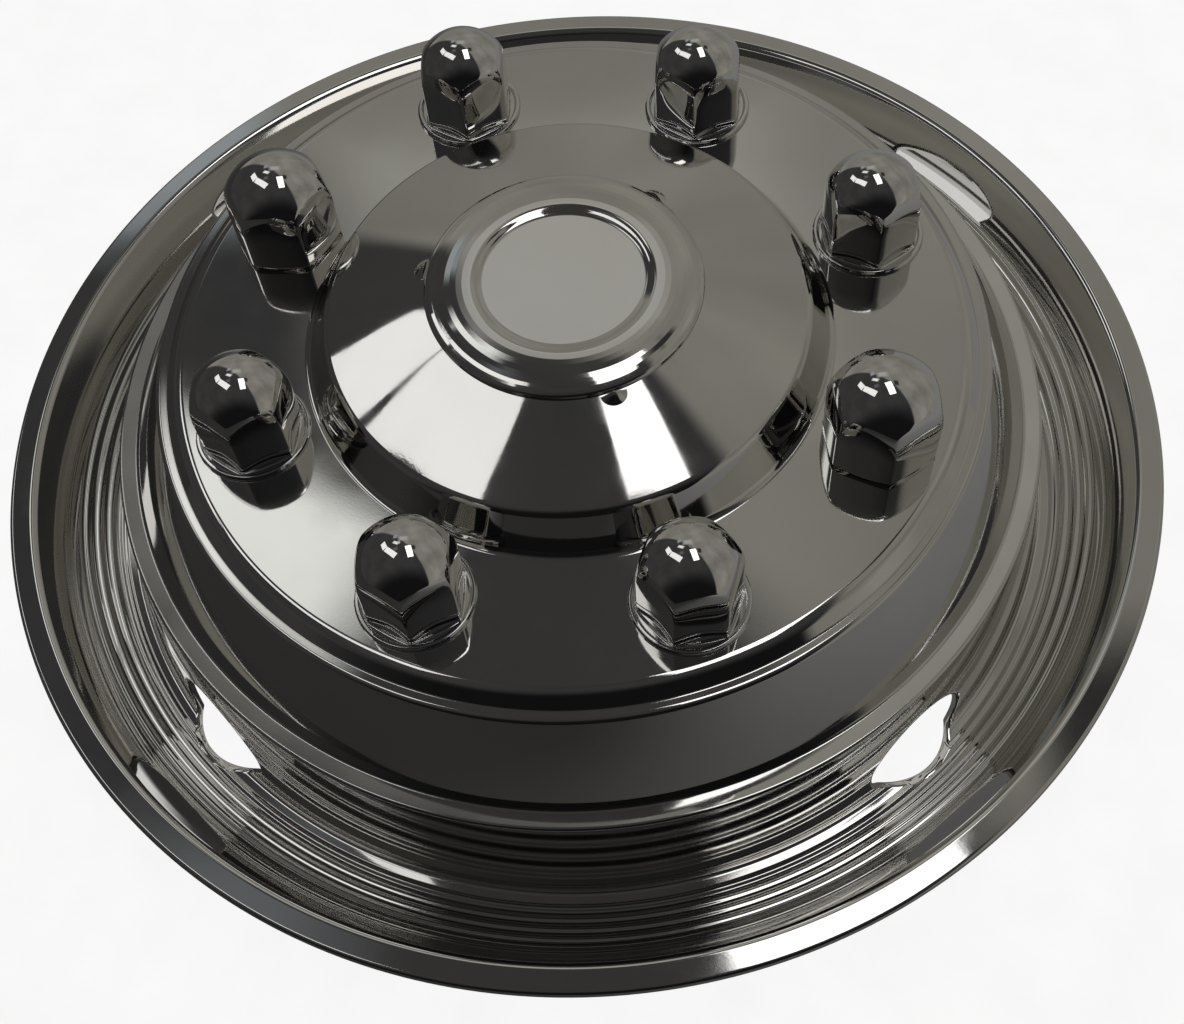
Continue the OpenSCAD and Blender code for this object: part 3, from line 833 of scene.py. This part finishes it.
def floor_material():
    """Pale paper. Mirrors see painted light and shade on it: the paper is painted white, as if lit, under
    the far half of the object, and painted dark as shade under its near half. Beyond it lies a grey studio
    floor with a painted fall-off of light.
    """
    material = bpy.data.materials.new("pale floor")
    material.use_nodes = True
    tree = material.node_tree
    tree.nodes.clear()
    place = node(tree, "ShaderNodeNewGeometry").outputs["Position"]
    length = node(tree, "ShaderNodeVectorMath", operation="LENGTH")
    tree.links.new(place, length.inputs[0])
    # Painted light and shade in mirrors: the paper under the object is white under its far half and painted
    # dark as shade under its near half
    under = ramp(tree, length.outputs["Value"], *PAPER_R, 1.0, 0.0)
    lit_far_half = ramp(tree, along(tree, place, (0, 1, 0)), -0.08, -0.03)
    sheet = maths(tree, "MULTIPLY", lit_far_half, under)
    # Painted fall-off of light: the studio floor seen in mirrors goes from grey (0.24) to nearly black
    # (0.014) across it
    studio = ramp(tree, along(tree, place, (0.94, 0.34, 0)), -0.30, 0.50, 0.014, 0.24)
    beyond = maths(tree, "MULTIPLY", studio, maths(tree, "SUBTRACT", 1, sheet))
    mirrored = maths(tree, "ADD", beyond, sheet)
    path = node(tree, "ShaderNodeLightPath").outputs
    reflected = maths(tree, "MAXIMUM", path["Is Glossy Ray"], path["Is Transmission Ray"])
    seen = maths(tree, "MAXIMUM", maths(tree, "MULTIPLY", mirrored, reflected), path["Is Camera Ray"])
    paper = spread(tree, noise(tree, place, 35, 4), 0.97, 1.0)
    light = node(tree, "ShaderNodeEmission")
    feed(tree, light, {"Strength": maths(tree, "MULTIPLY", seen, maths(tree, "MULTIPLY", paper, PAPER))})
    matt = node(tree, "ShaderNodeBsdfDiffuse")
    feed(tree, matt, {"Color": (0.12, 0.12, 0.12, 1)})
    both = node(tree, "ShaderNodeAddShader")
    feed(tree, both, {0: light.outputs[0], 1: matt.outputs[0]})
    out = node(tree, "ShaderNodeOutputMaterial")
    feed(tree, out, {"Surface": both.outputs[0]})
    return material


floor_mesh = bpy.data.meshes.new("floor")
floor_corners = [(x * FLOOR_HALF, y * FLOOR_HALF, 0) for x, y in ((-1, -1), (1, -1), (1, 1), (-1, 1))]
floor_mesh.from_pydata(floor_corners, [], [(0, 1, 2, 3)])
floor_mesh.materials.append(floor_material())
floor = bpy.data.objects.new("floor", floor_mesh)
bpy.context.scene.collection.objects.link(floor)


def panel(name, start, end, width, strength):
    """A soft light overhead whose middle line goes from start to end, as (x, y)."""
    a, b = from_camera_frame(*start, LIGHT_H), from_camera_frame(*end, LIGHT_H)
    data = bpy.data.lights.new(name, "AREA")
    data.shape = "RECTANGLE"
    data.size = (b - a).length
    data.size_y = width
    data.energy = strength * math.pi * data.size * data.size_y
    lamp = bpy.data.objects.new(name, data)
    x = (b - a).normalized()
    z = Vector((0, 0, 1))
    lamp.matrix_world = Matrix.Translation((a + b) / 2) @ Matrix((x, z.cross(x), z)).transposed().to_4x4()
    bpy.context.scene.collection.objects.link(lamp)


panel("light right", (0.655, -0.166), (0.395, 1.066), 0.59, 2.2)
panel("light left", (-0.81, 0.06), (-1.98, 1.23), 0.60, 1.2)
panel("light far left", (-2.06, 1.30), (-2.62, 2.50), 0.66, 1.2)

# Soft panes of the studio overhead: colour, middle and half size on a plane at height 1, degrees, softness
PANES = [
    ((1.12, 1.15, 1.12), (-0.252, 0.606), (0.110, 0.055), 142, 0.4),
    ((0.36, 0.40, 0.43), (-0.31, 1.02), (0.07, 0.12), 0, 0.4),
    ((0.48, 0.475, 0.45), (0.0, 0.81), (0.15, 0.13), 0, 0.6),
    ((0.035, 0.035, 0.034), (0.35, 0.36), (0.07, 0.09), 0, 0.4),
    ((0.15, 0.16, 0.17), (-0.25, 0.33), (0.06, 0.05), 0, 0.9),
]


def world_light():
    """A dim studio: warm grey walls to the right and behind, dark overhead and to the left."""
    world = bpy.data.worlds.new("studio")
    bpy.context.scene.world = world
    world.use_nodes = True
    tree = world.node_tree
    ray = node(tree, "ShaderNodeTexCoord").outputs["Generated"]
    height = maths(tree, "MAXIMUM", along(tree, ray, (0, 0, 1)), 0.01)

    def pane(middle, half_size, degrees, soft):
        """1 inside a soft-edged rectangle on the plane at height 1, and 0 outside."""
        c, d = math.cos(math.radians(degrees)), math.sin(math.radians(degrees))
        sides = []
        for vector, half in zip(((c, d, 0), (-d, c, 0)), half_size):
            offset = vector[0] * middle[0] + vector[1] * middle[1]
            off = maths(tree, "SUBTRACT", maths(tree, "DIVIDE", along(tree, ray, vector), height), offset)
            sides.append(maths(tree, "DIVIDE", maths(tree, "ABSOLUTE", off, 0), half))
        return ramp(tree, maths(tree, "MAXIMUM", *sides), 1 + soft, 1 - soft)

    cloud = spread(tree, noise(tree, ray, 2.2, 2), 0.0, 1.0)
    overhead = mixed(tree, cloud, (0.036, 0.038, 0.043), (0.058, 0.055, 0.052))
    near = ramp(tree, along(tree, ray, (0, -1, 0)), 0.25, 0.75)
    overhead = mixed(tree, near, overhead, (0.008, 0.008, 0.009))
    walls = mixed(tree, cloud, (0.20, 0.192, 0.172), (0.32, 0.312, 0.28))
    side = ramp(tree, along(tree, ray, (0.742, 0.576, -0.340)), -0.015, 0.055)
    tone = mixed(tree, side, overhead, walls)
    for colour, *place in PANES:
        tone = mixed(tree, pane(*place), tone, colour)
    # Beyond the floor's edge the camera sees a pale backdrop
    seen = node(tree, "ShaderNodeLightPath").outputs["Is Camera Ray"]
    tone = mixed(tree, seen, tone, (BACKDROP, BACKDROP, BACKDROP))
    feed(tree, tree.nodes["Background"], {"Color": tone, "Strength": 1})


world_light()

# The camera's angles and its distance to the flange's middle, then sizes in pixels of the photo
ELEVATION, ROLL, DISTANCE = math.radians(59.52), math.radians(-5.83), 0.737
PHOTO_WIDTH, FOCAL, OFF_X, OFF_Y = 1184, 1611.0, -13.8, -94.1
SENSOR = 36

forward = Vector((0, math.cos(ELEVATION), -math.sin(ELEVATION)))
right = Vector((1, 0, 0))
up = right.cross(forward)
cam_x = math.cos(ROLL) * right + math.sin(ROLL) * up
cam_y = -math.sin(ROLL) * right + math.cos(ROLL) * up
metres_per_pixel = DISTANCE / FOCAL
spot = -(forward * DISTANCE + cam_x * (OFF_X * metres_per_pixel) + cam_y * (-OFF_Y * metres_per_pixel))
camera_data = bpy.data.cameras.new("camera")
camera_data.sensor_width = SENSOR
camera_data.lens = FOCAL * SENSOR / PHOTO_WIDTH
camera_data.clip_start = 0.01
camera = bpy.data.objects.new("camera", camera_data)
axes = Matrix((TURN @ cam_x, TURN @ cam_y, TURN @ -forward)).transposed()
camera.matrix_world = Matrix.Translation(from_camera_frame(*spot)) @ axes.to_4x4()
bpy.context.scene.collection.objects.link(camera)
bpy.context.scene.camera = camera

scene = bpy.context.scene
scene.view_settings.view_transform = "Standard"
